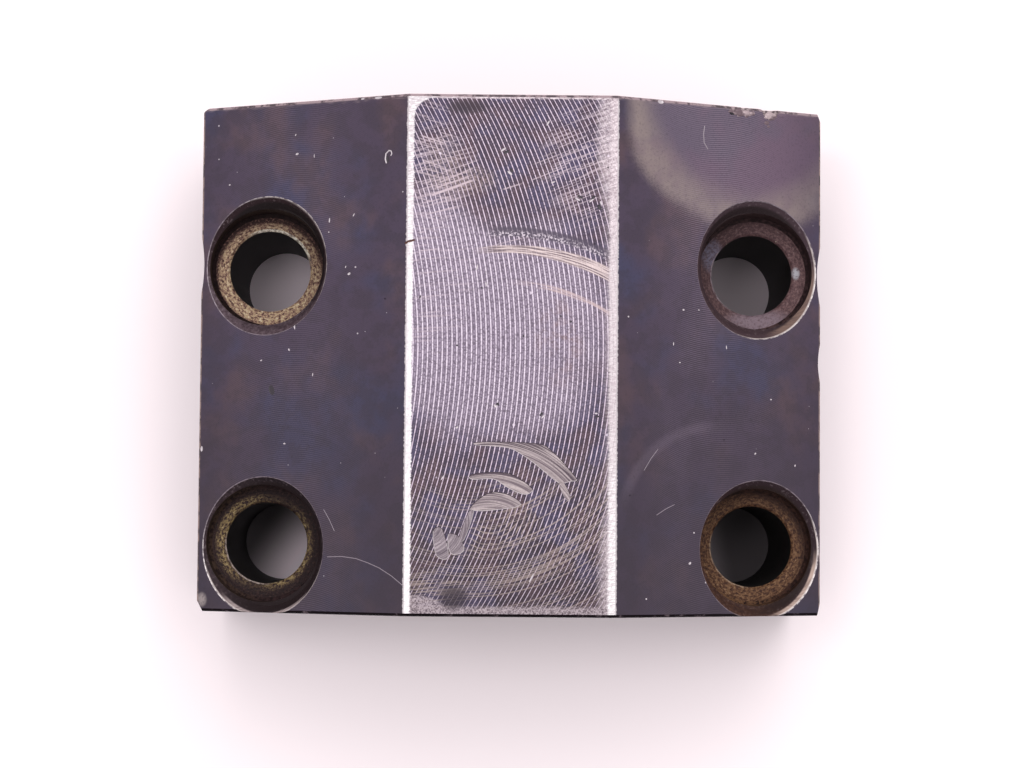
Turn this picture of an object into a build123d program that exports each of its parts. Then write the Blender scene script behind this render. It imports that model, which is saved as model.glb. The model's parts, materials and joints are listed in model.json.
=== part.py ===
from build123d import *
import os
from math import cos, radians, sin, sqrt, tan

os.makedirs("parts", exist_ok=True)

# Millimetres. The origin is the centre of the base: +X across the block, +Y along the
# bar bore towards the back, +Z up.

# Body: a flat ridge between two shoulders that fall to the sides
block_width = 107.0
block_length = 86.8
block_height = 58.0
ridge_width = 34.8
shoulder_angle = 26.0
end_edge_break = 0.5
side_edge_break = 0.3

# Bore for the boring bar, right through along Y
bar_diameter = 40.0
bar_axis_height = 29.0
bar_bore_mouth = 1.0

# Four vertical bolt holes, each with a flat seat for the bolt's head under the shoulder
bolt_hole_diameter = 14.0
bolt_hole_edge_break = 0.35
bolt_pitch_across = 84.0
bolt_pitch_along = 47.25
front_bolt_margin = 11.7
head_bore_diameter = 20.0
head_seat_height = 36.4
head_bore_corner = 0.6
rim_diameter = 23.75

# Set screws that clamp the bar from the left-hand side face
screw_diameter = 12.0
screw_length = 25.0
screw_running_gap = 0.05
screw_tip_gap = 0.6
screw_end_break = 0.9
screw_cup_diameter = 7.0
screw_cup_depth = 1.6
screw_socket_width = 6.0
screw_socket_depth = 7.0
screw_socket_break = 0.5
screw_hole_mouth = 1.0
screw_margins = {"front": 27.6, "middle": 43.0, "rear": 76.0}

# Knocks on the outer edges: how far each reaches, and where
corner_knocks = {
    "left_rear": (1.0, 0.8),
    "right_rear": (0.6, 1.5),
    "left_front": (1.0, 1.9),
    "right_front": (0.5, 2.2),
}
corner_knock_height = 9.0
side_knocks = [(1, 15.0, 0.6, 5.0), (1, 0.0, 0.4, 3.2), (-1, 16.0, 0.45, 4.6)]
side_knock_taper = 4.0
side_knock_height = 12.0
back_edge_dents = [(39.7, 3.3, 0.6), (44.2, 1.9, 1.35)]

# Worked out from the sizes above
shoulder_run = (block_width - ridge_width) / 2
shoulder_drop = shoulder_run * tan(radians(shoulder_angle))
side_height = block_height - shoulder_drop
front_face = -block_length / 2
back_face = block_length / 2
front_row = front_face + front_bolt_margin
bolt_rows = (front_row, front_row + bolt_pitch_along)
clearance_above = block_height
screw_hole_diameter = screw_diameter + 2 * screw_running_gap


def shoulder_height(x):
    """Height of the shoulder's surface at a distance from the middle plane."""
    return block_height - (abs(x) - ridge_width / 2) * tan(radians(shoulder_angle))


def shoulder_normal(side):
    return Vector(side * sin(radians(shoulder_angle)), 0, cos(radians(shoulder_angle)))


def make_body():
    """The block's section, drawn in the XZ plane and run along Y."""
    half = block_width / 2
    ridge = ridge_width / 2
    outline = Polyline(
        (-half, 0),
        (half, 0),
        (half, side_height),
        (ridge, block_height),
        (-ridge, block_height),
        (-half, side_height),
        close=True,
    )
    body = extrude(Plane.XZ * make_face(outline), amount=block_length / 2, both=True)
    long_edges = [
        edge
        for edge in body.edges().filter_by(Axis.Y)
        if abs(edge.center().X) > ridge_width
    ]
    body = chamfer(long_edges, side_edge_break)
    end_faces = [body.faces().sort_by(Axis.Y)[0], body.faces().sort_by(Axis.Y)[-1]]
    return chamfer([edge for face in end_faces for edge in face.edges()], end_edge_break)


def bar_bore():
    """The bar's bore with a chamfered mouth at each end."""
    axis_start = Plane(
        origin=(0, front_face, bar_axis_height), x_dir=(1, 0, 0), z_dir=(0, 1, 0)
    )
    radius = bar_diameter / 2
    mouth = Cone(
        bottom_radius=radius + bar_bore_mouth,
        top_radius=radius,
        height=bar_bore_mouth,
        align=(Align.CENTER, Align.CENTER, Align.MIN),
    )
    bore = Cylinder(radius, block_length, align=(Align.CENTER, Align.CENTER, Align.MIN))
    far_mouth = Pos(0, 0, block_length) * Rot(180, 0, 0) * mouth
    return axis_start * (bore + mouth + far_mouth)


def head_bore(side):
    """Room for a bolt's head: a flat-bottomed bore with its corner eased."""
    tool = Cylinder(
        head_bore_diameter / 2,
        clearance_above,
        align=(Align.CENTER, Align.CENTER, Align.MIN),
    )
    tool = chamfer(tool.edges().group_by(Axis.Z)[0], head_bore_corner)
    return Pos(side * bolt_pitch_across / 2, 0, head_seat_height) * tool


def bolt_hole(side):
    """The hole for a bolt's shank, with its edges broken at the seat and at the base."""
    radius = bolt_hole_diameter / 2
    broken = radius + bolt_hole_edge_break
    shank = Cylinder(
        radius, head_seat_height, align=(Align.CENTER, Align.CENTER, Align.MIN)
    )
    foot = Cone(
        bottom_radius=broken,
        top_radius=radius,
        height=bolt_hole_edge_break,
        align=(Align.CENTER, Align.CENTER, Align.MIN),
    )
    seat = Pos(0, 0, head_seat_height) * Rot(180, 0, 0) * foot
    return Pos(side * bolt_pitch_across / 2, 0, 0) * (shank + foot + seat)


def rim_countersink(side):
    """A countersink square to the shoulder that opens the head bore's rim."""
    x = side * bolt_pitch_across / 2
    on_shoulder = Plane(
        origin=(x, 0, shoulder_height(x)), x_dir=(0, 1, 0), z_dir=shoulder_normal(side)
    )
    rim = rim_diameter / 2
    rise = rim - head_bore_diameter / 2
    cone = Cone(
        bottom_radius=rim - rise,
        top_radius=rim + rise,
        height=2 * rise,
        align=(Align.CENTER, Align.CENTER, Align.CENTER),
    )
    return on_shoulder * cone


def corner_knock(side, end, reach_x, reach_y):
    """Everything outside a plane that clips one of the shoulders' outer corners."""
    corner = Vector(side * block_width / 2, end * block_length / 2, side_height)
    on_end = corner - Vector(side * reach_x, 0, 0)
    on_side = corner - Vector(0, end * reach_y, 0)
    on_upright = corner - Vector(0, 0, corner_knock_height)
    normal = (on_side - on_end).cross(on_upright - on_end)
    if normal.dot(Vector(side, end, 0)) < 0:
        normal = -normal
    clip = Plane(origin=on_end, x_dir=on_side - on_end, z_dir=normal)
    span = 2 * corner_knock_height
    lump = Box(span, 2 * span, span, align=(Align.CENTER, Align.CENTER, Align.MIN))
    return clip * lump


def side_knock(side, y, depth, half_length):
    """A shallow hollow at the top of a side face that runs out downwards."""
    radius = (half_length**2 + depth**2) / (2 * depth)
    tool = Cylinder(
        radius, 2 * side_knock_height, align=(Align.CENTER, Align.CENTER, Align.CENTER)
    )
    x = side * (block_width / 2 + radius - depth)
    return Pos(x, y, side_height) * Rot(0, side * side_knock_taper, 0) * tool


def back_edge_dent(x, radius, depth):
    """A ball-shaped dent on the edge between a shoulder and the back face."""
    outward = (shoulder_normal(1 if x > 0 else -1) + Vector(0, 1, 0)) / sqrt(2)
    on_edge = Vector(x, back_face, shoulder_height(x))
    centre = on_edge + outward * (radius - depth)
    return Pos(centre.X, centre.Y, centre.Z) * Sphere(radius)


def screw_plane(margin):
    """Where a set screw's axis leaves the bar bore: +Z of the plane points outwards."""
    return Plane(
        origin=(-bar_diameter / 2, front_face + margin, bar_axis_height),
        x_dir=(0, 1, 0),
        z_dir=(-1, 0, 0),
    )


def screw_hole(margin):
    """A screw's hole from the middle of the bar bore out through the side face."""
    wall = (block_width - bar_diameter) / 2
    radius = screw_hole_diameter / 2
    hole = Pos(0, 0, -bar_diameter / 4) * Cylinder(
        radius,
        wall + bar_diameter / 4,
        align=(Align.CENTER, Align.CENTER, Align.MIN),
    )
    mouth = Pos(0, 0, wall - screw_hole_mouth) * Cone(
        bottom_radius=radius,
        top_radius=radius + screw_hole_mouth,
        height=screw_hole_mouth,
        align=(Align.CENTER, Align.CENTER, Align.MIN),
    )
    return screw_plane(margin) * (hole + mouth)


def make_block():
    block = make_body() - bar_bore()
    for side in (-1, 1):
        for y in bolt_rows:
            along = Pos(0, y, 0)
            block -= along * bolt_hole(side)
            block -= along * head_bore(side)
            block -= along * rim_countersink(side)
    for margin in screw_margins.values():
        block -= screw_hole(margin)
    for name, (reach_x, reach_y) in corner_knocks.items():
        side = -1 if name.startswith("left") else 1
        end = 1 if name.endswith("rear") else -1
        block -= corner_knock(side, end, reach_x, reach_y)
    for knock in side_knocks:
        block -= side_knock(*knock)
    for dent in back_edge_dents:
        block -= back_edge_dent(*dent)
    return block


def make_set_screw(margin):
    """A socket set screw with a cup point, lying just clear of the bar."""
    radius = screw_diameter / 2
    body = Cylinder(
        radius, screw_length, align=(Align.CENTER, Align.CENTER, Align.MIN)
    )
    ends = body.edges().filter_by(GeomType.CIRCLE)
    body = chamfer(ends, screw_end_break)
    cup = Cone(
        bottom_radius=screw_cup_diameter / 2,
        top_radius=screw_cup_diameter / 2 - screw_cup_depth,
        height=screw_cup_depth,
        align=(Align.CENTER, Align.CENTER, Align.MIN),
    )
    hexagon = RegularPolygon(screw_socket_width / 2, 6, major_radius=False)
    socket = Pos(0, 0, screw_length) * extrude(hexagon, amount=-screw_socket_depth)
    lead_in = Pos(0, 0, screw_length - screw_socket_break) * Cone(
        bottom_radius=screw_socket_width / 2,
        top_radius=screw_socket_width / 2 + screw_socket_break,
        height=screw_socket_break,
        align=(Align.CENTER, Align.CENTER, Align.MIN),
    )
    screw = body - cup - socket - lead_in
    return screw_plane(margin) * Pos(0, 0, screw_tip_gap) * screw


export_step(make_block(), "parts/block.step")
for place, margin in screw_margins.items():
    export_step(make_set_screw(margin), f"parts/set_screw_{place}.step")
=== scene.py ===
import json
import math

import bmesh
import bpy
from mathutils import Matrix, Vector

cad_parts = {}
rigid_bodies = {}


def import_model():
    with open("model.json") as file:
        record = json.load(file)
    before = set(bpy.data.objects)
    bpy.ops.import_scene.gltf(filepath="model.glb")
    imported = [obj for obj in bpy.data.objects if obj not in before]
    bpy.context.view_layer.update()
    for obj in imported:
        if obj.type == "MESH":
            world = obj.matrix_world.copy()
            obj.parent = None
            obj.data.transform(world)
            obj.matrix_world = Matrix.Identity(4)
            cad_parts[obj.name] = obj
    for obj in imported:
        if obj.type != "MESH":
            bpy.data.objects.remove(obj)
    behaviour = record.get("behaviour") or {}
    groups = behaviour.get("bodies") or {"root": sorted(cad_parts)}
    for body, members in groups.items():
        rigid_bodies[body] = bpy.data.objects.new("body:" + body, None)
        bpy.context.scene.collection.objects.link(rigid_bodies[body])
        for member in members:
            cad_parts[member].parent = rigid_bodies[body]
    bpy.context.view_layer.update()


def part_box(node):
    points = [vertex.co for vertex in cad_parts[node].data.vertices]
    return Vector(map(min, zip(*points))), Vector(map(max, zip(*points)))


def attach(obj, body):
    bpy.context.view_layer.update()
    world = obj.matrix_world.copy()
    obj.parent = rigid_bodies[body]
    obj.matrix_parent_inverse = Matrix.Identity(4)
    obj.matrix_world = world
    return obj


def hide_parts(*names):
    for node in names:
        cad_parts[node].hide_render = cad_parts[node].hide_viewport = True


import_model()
blockLow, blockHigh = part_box("block")
mm = 0.001
print("frame loaded")


# Modelling helpers

def selectOnly(*pieces):
    for other in bpy.context.view_layer.objects:
        other.select_set(False)
    for piece in pieces:
        piece.select_set(True)
    if pieces:
        bpy.context.view_layer.objects.active = pieces[0]


def openUp(piece):
    selectOnly(piece)
    bpy.ops.object.mode_set(mode="EDIT")


def closeUp():
    bpy.ops.object.mode_set(mode="OBJECT")


def pickEdges(piece, rule):
    bpy.ops.mesh.select_mode(type="EDGE")
    bpy.ops.mesh.select_all(action="DESELECT")
    for edge in bmesh.from_edit_mesh(piece.data).edges:
        edge.select_set(rule(edge.verts[0].co, edge.verts[1].co))
    bmesh.update_edit_mesh(piece.data)


def pickFaces(piece, rule):
    bpy.ops.mesh.select_mode(type="FACE")
    bpy.ops.mesh.select_all(action="DESELECT")
    for face in bmesh.from_edit_mesh(piece.data).faces:
        face.select_set(rule(face.calc_center_median(), face.normal))
    bmesh.update_edit_mesh(piece.data)


def place(piece, location=(0, 0, 0), rotation=(0, 0, 0)):
    selectOnly(piece)
    piece.location = Vector(piece.location) + Vector(location)
    piece.rotation_euler = rotation
    bpy.ops.object.transform_apply(location=True, rotation=True, scale=True)
    return piece


def applyAll(piece):
    selectOnly(piece)
    for modifier in list(piece.modifiers):
        bpy.ops.object.modifier_apply(modifier=modifier.name)


def turned(name, rings, sides=96):
    # a turned shape: a disc pulled up from ring to ring, each ring a (radius, height)
    radius, height = rings[0]
    selectOnly()
    bpy.ops.mesh.primitive_circle_add(
        vertices=sides, radius=radius, fill_type="NGON", location=(0, 0, height)
    )
    piece = bpy.context.object
    piece.name = name
    openUp(piece)
    bpy.ops.mesh.select_mode(type="FACE")
    bpy.ops.mesh.select_all(action="SELECT")
    for nextRadius, nextHeight in rings[1:]:
        bpy.ops.mesh.extrude_region_move(
            TRANSFORM_OT_translate={"value": (0, 0, nextHeight - height)}
        )
        ratio = nextRadius / radius
        bpy.ops.transform.resize(value=(ratio, ratio, 1))
        radius, height = nextRadius, nextHeight
    bpy.ops.mesh.select_all(action="SELECT")
    bpy.ops.mesh.normals_make_consistent(inside=False)
    closeUp()
    return place(piece)


def drawnLine(name, points):
    # a line of points: a plane drawn in to one vertex, then pulled on from point to point
    selectOnly()
    bpy.ops.mesh.primitive_plane_add(size=mm, location=points[0])
    piece = bpy.context.object
    piece.name = name
    openUp(piece)
    bpy.ops.mesh.select_mode(type="VERT")
    bpy.ops.mesh.select_all(action="SELECT")
    bpy.ops.mesh.merge(type="CENTER")
    for start, end in zip(points, points[1:]):
        step = Vector(end) - Vector(start)
        bpy.ops.mesh.extrude_vertices_move(TRANSFORM_OT_translate={"value": step})
    closeUp()
    return place(piece)


def threadedRod(name, crest, root, pitch, low, high, sides=48):
    # one tooth of the thread, wound up by the Screw modifier and cut square at both ends
    rises = [(root, 0), (root, 0.2), (crest, 0.52), (crest, 0.68), (root, 1)]
    base = low - 1.5 * pitch
    piece = drawnLine(name, [(radius, 0, base + share * pitch) for radius, share in rises])
    winding = piece.modifiers.new("winding", "SCREW")
    winding.axis = "Z"
    winding.screw_offset = pitch
    winding.iterations = math.ceil((high - low) / pitch) + 3
    winding.steps = winding.render_steps = sides
    applyAll(piece)
    openUp(piece)
    bpy.ops.mesh.select_mode(type="VERT")
    bpy.ops.mesh.select_all(action="SELECT")
    bpy.ops.mesh.remove_doubles(threshold=0.001 * mm)
    for height, up in ((low, -1), (high, 1)):
        bpy.ops.mesh.select_all(action="SELECT")
        bpy.ops.mesh.bisect(
            plane_co=(0, 0, height), plane_no=(0, 0, up), use_fill=True, clear_outer=True
        )
    bpy.ops.mesh.select_all(action="SELECT")
    bpy.ops.mesh.normals_make_consistent(inside=False)
    closeUp()
    return piece


def combine(piece, tool, operation="DIFFERENCE"):
    cut = piece.modifiers.new("cut", "BOOLEAN")
    cut.operation = operation
    cut.solver = "MANIFOLD"
    cut.material_mode = "TRANSFER"
    cut.object = tool
    applyAll(piece)
    bpy.data.objects.remove(tool)


def coat(piece, *materials):
    piece.data.materials.clear()
    for material in materials:
        piece.data.materials.append(material)


def coatFaces(piece, index, rule):
    for face in piece.data.polygons:
        if rule(face.center, face.normal):
            face.material_index = index


# Shader helpers

class Field:
    # a value in a material's nodes that can be reckoned with like a number

    def __init__(self, tree, socket):
        self.tree = tree
        self.socket = socket

    def calc(self, operation, *others):
        node = self.tree.nodes.new("ShaderNodeMath")
        node.operation = operation
        for entry, value in zip(node.inputs, (self, *others)):
            plug(self.tree, entry, value)
        return Field(self.tree, node.outputs[0])

    def __add__(self, other):
        return self.calc("ADD", other)

    def __sub__(self, other):
        return self.calc("SUBTRACT", other)

    def __mul__(self, other):
        return self.calc("MULTIPLY", other)

    def __truediv__(self, other):
        return self.calc("DIVIDE", other)

    def below(self, limit):
        return self.calc("LESS_THAN", limit)

    def square(self):
        return self * self

    def root(self):
        return self.calc("SQRT")

    def absolute(self):
        return self.calc("ABSOLUTE")

    def least(self, other):
        return self.calc("MINIMUM", other)

    def most(self, other):
        return self.calc("MAXIMUM", other)

    def ease(self, low, high, bottom=0.0, top=1.0):
        # 0 below low and 1 above high, or the other way round if low is the larger
        node = self.tree.nodes.new("ShaderNodeMapRange")
        node.interpolation_type = "SMOOTHSTEP"
        for entry, value in zip(node.inputs, (self, low, high, bottom, top)):
            plug(self.tree, entry, value)
        return Field(self.tree, node.outputs[0])


def plug(tree, entry, value):
    if isinstance(value, Field):
        tree.links.new(value.socket, entry)
    elif isinstance(value, bpy.types.NodeSocket):
        tree.links.new(value, entry)
    else:
        entry.default_value = value


lightLevel = 1.25


def paint(red, green, blue):
    # a colour written as it looks on the screen, 0 to 255, under the studio's light level
    def linear(value):
        share = value / 255
        glint = share / 12.92 if share <= 0.04045 else ((share + 0.055) / 1.055) ** 2.4
        return glint / lightLevel
    return (linear(red), linear(green), linear(blue), 1)


def startMaterial(name):
    # gives the material, its nodes, its shader and each point's place in millimetres
    material = bpy.data.materials.new(name)
    material.use_nodes = True
    tree = material.node_tree
    shader = tree.nodes["Principled BSDF"]
    scaled = tree.nodes.new("ShaderNodeVectorMath")
    scaled.operation = "SCALE"
    scaled.inputs["Scale"].default_value = 1 / mm
    tree.links.new(tree.nodes.new("ShaderNodeTexCoord").outputs["Object"], scaled.inputs[0])
    return material, tree, shader, scaled.outputs[0]


def split(tree, vector):
    node = tree.nodes.new("ShaderNodeSeparateXYZ")
    tree.links.new(vector, node.inputs[0])
    return [Field(tree, output) for output in node.outputs]


def join(tree, x=0.0, y=0.0, z=0.0):
    node = tree.nodes.new("ShaderNodeCombineXYZ")
    for entry, value in zip(node.inputs, (x, y, z)):
        plug(tree, entry, value)
    return node.outputs[0]


def noise(tree, vector, scale, detail=2.0, roughness=0.5, distortion=0.0):
    node = tree.nodes.new("ShaderNodeTexNoise")
    tree.links.new(vector, node.inputs["Vector"])
    node.inputs["Scale"].default_value = scale
    node.inputs["Detail"].default_value = detail
    node.inputs["Roughness"].default_value = roughness
    node.inputs["Distortion"].default_value = distortion
    return Field(tree, node.outputs["Fac"])


def specks(tree, vector, spacing, size, share):
    # small dots, about one to each cell of the spacing, of which only a share shows
    node = tree.nodes.new("ShaderNodeTexVoronoi")
    tree.links.new(vector, node.inputs["Vector"])
    node.inputs["Scale"].default_value = 1 / spacing
    distance = Field(tree, node.outputs["Distance"]) * spacing
    shown = split(tree, node.outputs["Color"])[0].below(share)
    return distance.ease(size, size * 0.55) * shown


def mix(tree, factor, first, second):
    node = tree.nodes.new("ShaderNodeMix")
    node.data_type = "RGBA"
    plug(tree, node.inputs["Factor"], factor)
    plug(tree, node.inputs["A"], first)
    plug(tree, node.inputs["B"], second)
    return node.outputs["Result"]


def streaks(tree, x, y, angle, across, along, low, high):
    # hairlines that run at an angle in degrees: how many to a millimetre across and along
    turn = math.radians(angle)
    lengthways = x * math.cos(turn) + y * math.sin(turn)
    sideways = y * math.cos(turn) - x * math.sin(turn)
    return noise(tree, join(tree, lengthways * along, sideways * across), 1.0, 1.0).ease(low, high)


def patch(x, y, centre, reach):
    # a soft oval: 1 in the middle, 0 from the reach outwards
    spread = ((x - centre[0]) / reach[0]).square() + ((y - centre[1]) / reach[1]).square()
    return spread.ease(1.0, 0.0)


def stroke(x, y, start, end, halfWide):
    # one straight stroke from start to end, fading at both ends
    length = math.dist(start, end)
    towardsX, towardsY = (end[0] - start[0]) / length, (end[1] - start[1]) / length
    along = (x - start[0]) * towardsX + (y - start[1]) * towardsY
    off = (x - start[0]) * towardsY - (y - start[1]) * towardsX
    inside = along.ease(0.0, 0.8) * along.ease(length, length - 1.5)
    return off.absolute().ease(halfWide * 1.3, halfWide * 0.5) * inside


def wave(value, pitch):
    # 0 along the lines of a ruled pattern and 1 half way between them
    return ((value / pitch).calc("FRACT") - 0.5).absolute() * 2


def around(x, y, centre):
    # the distance from a centre, and the direction from it as two shares
    aside, ahead = x - centre[0], y - centre[1]
    reach = (aside.square() + ahead.square()).root().most(0.001)
    return reach, aside / reach, ahead / reach


def arcStreaks(tree, x, y, centre, across, along, low, high):
    # hairlines that run round a centre
    reach, aside, ahead = around(x, y, centre)
    spread = join(tree, reach * across, aside * along, ahead * along)
    return noise(tree, spread, 1.0, 1.0).ease(low, high)


def relief(tree, shader, height, strength=1.0):
    # the height is in millimetres
    bump = tree.nodes.new("ShaderNodeBump")
    bump.inputs["Strength"].default_value = strength
    bump.inputs["Distance"].default_value = mm
    tree.links.new(height.socket, bump.inputs["Height"])
    tree.links.new(bump.outputs[0], shader.inputs["Normal"])


def plainFinish(name, colour, roughness=0.5, metallic=0.0):
    material, tree, shader, point = startMaterial(name)
    shader.inputs["Base Color"].default_value = colour
    shader.inputs["Roughness"].default_value = roughness
    shader.inputs["Metallic"].default_value = metallic
    return material


# Holder block: sizes as the frame has them, places in the block's own axes

blank = {
    "ridgeWidth": 34.8 * mm,
    "shoulderAngle": math.radians(26),
    "endBreak": 0.5 * mm,
    "sideBreak": 0.3 * mm,
    "ridgeBreak": 0.1 * mm,
    "edgeSteps": 2,
    # how far each knocked corner reaches along X and Y
    "cornerKnocks": {(-1, 1): (1.0, 0.8), (1, 1): (0.6, 1.5), (-1, -1): (1.0, 1.9), (1, -1): (0.5, 2.2)},
    "knockHeight": 9 * mm,
}
halfWidth = blockHigh.x
halfLength = blockHigh.y
topHeight = blockHigh.z
halfRidge = blank["ridgeWidth"] / 2
sideHeight = topHeight - (halfWidth - halfRidge) * math.tan(blank["shoulderAngle"])


def shoulderHeight(x):
    return topHeight - (abs(x) - halfRidge) * math.tan(blank["shoulderAngle"])


def near(value, target, room=0.01 * mm):
    return abs(value - target) < room


def weigh(piece, weight, rule):
    pickEdges(piece, rule)
    bpy.ops.transform.edge_bevelweight(value=weight)


def makeBlank():
    selectOnly()
    bpy.ops.mesh.primitive_cube_add(size=1, location=(blockLow + blockHigh) / 2)
    piece = bpy.context.object
    piece.name = "holder_block"
    piece.scale = blockHigh - blockLow
    place(piece)
    openUp(piece)
    for side in (-1, 1):
        bpy.ops.mesh.select_all(action="SELECT")
        bpy.ops.mesh.bisect(plane_co=(side * halfRidge, 0, 0), plane_no=(1, 0, 0))
    pickEdges(piece, lambda a, b: near(a.z, topHeight) and near(b.z, topHeight)
              and near(abs(a.x), halfWidth) and near(b.x, a.x))
    bpy.ops.transform.translate(value=(0, 0, sideHeight - topHeight))
    # the edge breaks go on together, each edge weighed by its own width
    widest = blank["endBreak"]
    weigh(piece, 1.0, lambda a, b: near(abs(a.y), halfLength) and near(a.y, b.y)
          and not (near(abs(a.x), halfRidge) and near(a.x, b.x)))
    weigh(piece, blank["sideBreak"] / widest, lambda a, b: near(abs(a.x), halfWidth)
          and near(b.x, a.x) and near(a.z, b.z))
    weigh(piece, blank["ridgeBreak"] / widest, lambda a, b: near(a.z, topHeight)
          and near(abs(a.x), halfRidge) and near(b.x, a.x) and near(a.z, b.z))
    closeUp()
    breaks = piece.modifiers.new("edge_breaks", "BEVEL")
    breaks.limit_method = "WEIGHT"
    breaks.width = widest
    breaks.segments = blank["edgeSteps"]
    breaks.use_clamp_overlap = False
    applyAll(piece)
    openUp(piece)
    bpy.ops.mesh.select_mode(type="VERT")
    for (side, end), (reachX, reachY) in blank["cornerKnocks"].items():
        corner = Vector((side * halfWidth, end * halfLength, sideHeight))
        onEnd = corner - Vector((side * reachX * mm, 0, 0))
        onSide = corner - Vector((0, end * reachY * mm, 0))
        onUpright = corner - Vector((0, 0, blank["knockHeight"]))
        outward = (onSide - onEnd).cross(onUpright - onEnd).normalized()
        if outward.dot(Vector((side, end, 0))) < 0:
            outward.negate()
        bpy.ops.mesh.select_all(action="SELECT")
        bpy.ops.mesh.bisect(plane_co=onEnd, plane_no=outward, use_fill=True, clear_outer=True)
    closeUp()
    return piece


bore = {"radius": 20 * mm, "height": 29 * mm, "mouth": 1 * mm, "sides": 160}


def makeBoreTool():
    over = 2 * mm
    radius, mouth = bore["radius"], bore["mouth"]
    rings = [
        (radius + mouth + over, -halfLength - over),
        (radius, -halfLength + mouth),
        (radius, halfLength - mouth),
        (radius + mouth + over, halfLength + over),
    ]
    tool = turned("bore_tool", rings, bore["sides"])
    return place(tool, (0, 0, bore["height"]), (math.radians(-90), 0, 0))


bolts = {
    "across": 84 * mm,
    "along": 47.25 * mm,
    "frontMargin": 11.7 * mm,
    "holeRadius": 7 * mm,
    "holeBreak": 0.35 * mm,
    "headRadius": 10 * mm,
    "seatHeight": 36.4 * mm,
    "seatCorner": 0.6 * mm,
    "wornTo": 9.05 * mm,
    "wornDepth": 0.06 * mm,
    "rimRadius": 23.75 / 2 * mm,
    "rimDepth": 1.875 * mm,
    "rimLip": 0.1 * mm,
    # how far each countersink lies off its hole
    "rimShift": {"rear_left": (0.15, 0.0), "rear_right": (0.0, 0.0),
                 "front_left": (0.1, -0.55), "front_right": (0.55, -0.5)},
    "sides": 128,
}
frontRow = -halfLength + bolts["frontMargin"]
boltPlaces = {
    "rear_left": (-bolts["across"] / 2, frontRow + bolts["along"]),
    "rear_right": (bolts["across"] / 2, frontRow + bolts["along"]),
    "front_left": (-bolts["across"] / 2, frontRow),
    "front_right": (bolts["across"] / 2, frontRow),
}


def makeBoltTool(x, y, holeCoat, seatCoat, wallCoat):
    # from the foot of the hole up to the head's room, with the ring that the heads have worn
    hole, head, seat = bolts["holeRadius"], bolts["headRadius"], bolts["seatHeight"]
    edge, corner, over = bolts["holeBreak"], bolts["seatCorner"], 2 * mm
    worn = seat - bolts["wornDepth"]
    rings = [
        (hole + edge + over, -over),
        (hole, edge),
        (hole, worn - edge),
        (hole + edge, worn),
        (bolts["wornTo"], worn),
        (bolts["wornTo"] + bolts["wornDepth"], seat),
        (head - corner, seat),
        (head, seat + corner),
        (head, topHeight + over),
    ]
    tool = turned("bolt_tool", rings, bolts["sides"])
    coat(tool, holeCoat, seatCoat, wallCoat)
    coatFaces(tool, 1, lambda c, n: seat - 0.3 * mm < c.z < seat + 0.2 * mm and n.z < -0.1)
    coatFaces(tool, 2, lambda c, n: c.z > seat + 0.2 * mm)
    return place(tool, (x, y, 0))


def makeRimTool(x, y, rimCoat, lipCoat):
    # the countersink, square to the shoulder, with a narrow lip at its rim
    rim, depth, lip, over = bolts["rimRadius"], bolts["rimDepth"], bolts["rimLip"], 2 * mm
    rings = [
        (rim - depth, -depth),
        (rim - lip, -lip),
        (rim + 0.4 * lip, 0),
        (rim + over, over),
    ]
    tool = turned("rim_tool", rings, bolts["sides"])
    coat(tool, rimCoat, lipCoat)
    coatFaces(tool, 1, lambda c, n: c.z > -lip)
    side = 1 if x > 0 else -1
    return place(tool, (x, y, shoulderHeight(x)), (0, side * blank["shoulderAngle"], 0))


screws = {
    "radius": 6 * mm,
    "threadDepth": 0.95 * mm,
    "pitch": 1.75 * mm,
    "length": 25 * mm,
    "tipGap": 0.6 * mm,
    "endBreak": 0.9 * mm,
    "cupRadius": 3.5 * mm,
    "cupDepth": 1.6 * mm,
    "socketWidth": 6 * mm,
    "socketDepth": 7 * mm,
    "socketBreak": 0.5 * mm,
    "drillDepth": 1.2 * mm,
    "holeGap": 0.05 * mm,
    "holeThreadDepth": 0.65 * mm,
    "holeMouth": 1 * mm,
    "sides": 48,
}
screwRows = {name: sum(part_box(name), Vector()).y / 2
             for name in ("set_screw_front", "set_screw_middle", "set_screw_rear")}
outThroughSide = (0, math.radians(-90), 0)


def makeScrewHoleTool(y, threadCoat):
    # the hole's thread is cut outwards from the plain hole, so the screw slides clear of it
    inner = screws["radius"] + screws["holeGap"]
    tool = threadedRod("screw_hole_tool", inner + screws["holeThreadDepth"], inner, screws["pitch"],
                       bore["radius"] / 2, halfWidth + 2 * mm, screws["sides"])
    coat(tool, threadCoat)
    return place(tool, (0, y, bore["height"]), outThroughSide)


def makeScrewMouthTool(y, threadCoat):
    over = 2 * mm
    inner = screws["radius"] + screws["holeGap"]
    mouth = screws["holeMouth"]
    rings = [(inner, halfWidth - mouth), (inner + mouth + over, halfWidth + over)]
    tool = turned("screw_mouth_tool", rings, screws["sides"] * 2)
    coat(tool, threadCoat)
    return place(tool, (0, y, bore["height"]), outThroughSide)


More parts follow.
